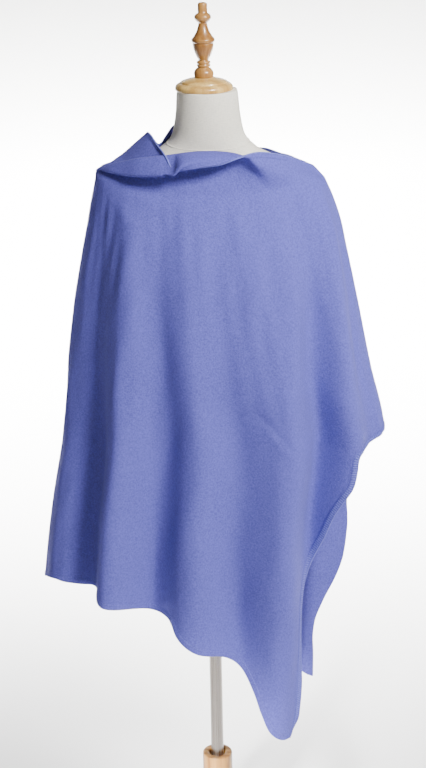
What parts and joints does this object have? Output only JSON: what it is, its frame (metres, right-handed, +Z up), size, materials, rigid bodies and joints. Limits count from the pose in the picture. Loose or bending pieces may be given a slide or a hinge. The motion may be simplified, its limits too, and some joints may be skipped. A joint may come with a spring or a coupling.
{
  "type": "cashmere poncho on dress form",
  "caption": "Asymmetric knitted poncho with a folded-down neckline, hanging in soft folds to a front and a back point on a limbless dress form with a wooden foot",
  "frame": {"origin": "On the floor under the middle of the bounding box; the pole stands 1 mm to +X and 49 mm to -Y of it", "axes": "+Z up along the pole, -Y the garment's front, +X the wearer's left, where the shoulder seam and open side are"},
  "size_m": [0.624, 0.4718, 1.6848],
  "materials": {
    "cloth": "fine soft knit",
    "hem": "knitted hem",
    "linen": "plain linen weave",
    "wood": "clear varnish",
    "steel": "satin"
  },
  "bodies": {
    "root": {"front_panel": "cloth", "back_panel": "cloth", "front_side_hem": "hem", "back_side_hem": "hem", "front_bottom_hem": "hem", "back_bottom_hem": "hem", "front_neck_hem": "hem", "back_neck_hem": "hem", "linen_torso": "linen", "neck_cap": "wood", "finial": "wood", "post": "wood", "leg_1": "wood", "leg_2": "wood", "leg_3": "wood", "pole": "steel"}
  },
  "joints": []
}
